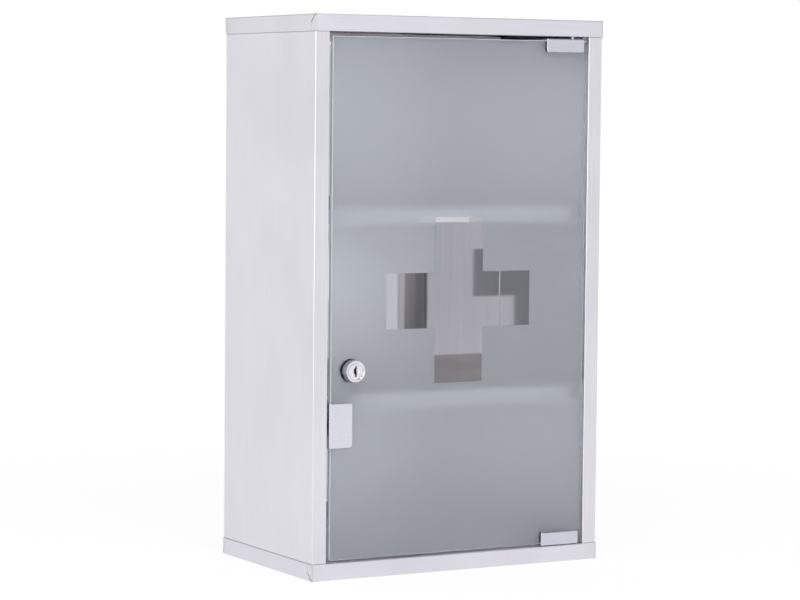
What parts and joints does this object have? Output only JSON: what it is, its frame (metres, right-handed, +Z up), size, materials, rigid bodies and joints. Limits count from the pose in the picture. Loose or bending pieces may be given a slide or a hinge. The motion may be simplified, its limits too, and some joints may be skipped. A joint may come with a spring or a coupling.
{
  "type": "medicine cabinet",
  "caption": "Lockable wall cabinet of folded stainless sheet with fixed shelves, a frosted glass door with a clear cross on pivot clips, a cam lock and a magnetic catch.",
  "frame": {"origin": "middle of the case's width, on the wall plane, level with the case's underside", "axes": "+X to the right seen from the front, +Y out of the back towards the wall, +Z up"},
  "size_m": [0.3, 0.1855, 0.5],
  "materials": {
    "case_steel": "stainless sheet, satin brushed along its length",
    "inner_steel": "stainless sheet, bright rolled finish",
    "door_glass": "clear float glass, rear face sandblasted except for a cross",
    "clip_steel": "satin nickel plated steel",
    "pad_rubber": "moulded grey silicone rubber",
    "nylon": "natural nylon",
    "catch_plastic": "moulded white plastic",
    "ferrite": "pressed ferrite magnet",
    "zinc_plate": "bright zinc plated steel",
    "lock_chrome": "chrome plated zinc casting",
    "wafer_brass": "stamped brass",
    "spring_wire": "drawn spring wire"
  },
  "bodies": {
    "cabinet": {"left_side_panel": "case_steel", "right_side_panel": "case_steel", "top_cap": "case_steel", "bottom_cap": "case_steel", "back_panel": "inner_steel", "upper_shelf": "inner_steel", "lower_shelf": "inner_steel", "upper_pivot_bush": "nylon", "lower_pivot_bush": "nylon", "catch_bracket": "inner_steel", "catch_housing": "catch_plastic", "catch_magnet": "ferrite", "catch_pole_plates": "zinc_plate", "catch_screws": "zinc_plate"},
    "door": {"door_glass": "door_glass", "upper_hinge_clip": "clip_steel", "lower_hinge_clip": "clip_steel", "upper_hinge_pad": "pad_rubber", "lower_hinge_pad": "pad_rubber", "upper_pivot_pin": "zinc_plate", "lower_pivot_pin": "zinc_plate", "hinge_grub_screws": "zinc_plate", "handle": "clip_steel", "handle_pad": "pad_rubber", "handle_screws": "zinc_plate", "lock_housing": "lock_chrome", "lock_front_washer": "pad_rubber", "lock_rear_washer": "pad_rubber", "lock_nut": "lock_chrome"},
    "lock_plug": {"lock_plug": "lock_chrome", "lock_cam": "zinc_plate", "cam_washer": "zinc_plate", "cam_screw": "zinc_plate", "lock_wafers": "wafer_brass", "wafer_springs": "spring_wire"}
  },
  "joints": [
    {"name": "door_hinge", "type": "hinge", "parent": "cabinet", "child": "door", "pos_m": [0.119, -0.1759, 0.25], "axis": [0, 0, 1], "range_deg": [0, 150]},
    {"name": "lock_turn", "type": "hinge", "parent": "door", "child": "lock_plug", "pos_m": [-0.11, -0.1759, 0.1857], "axis": [0, 1, 0], "range_deg": [0, 90]}
  ]
}
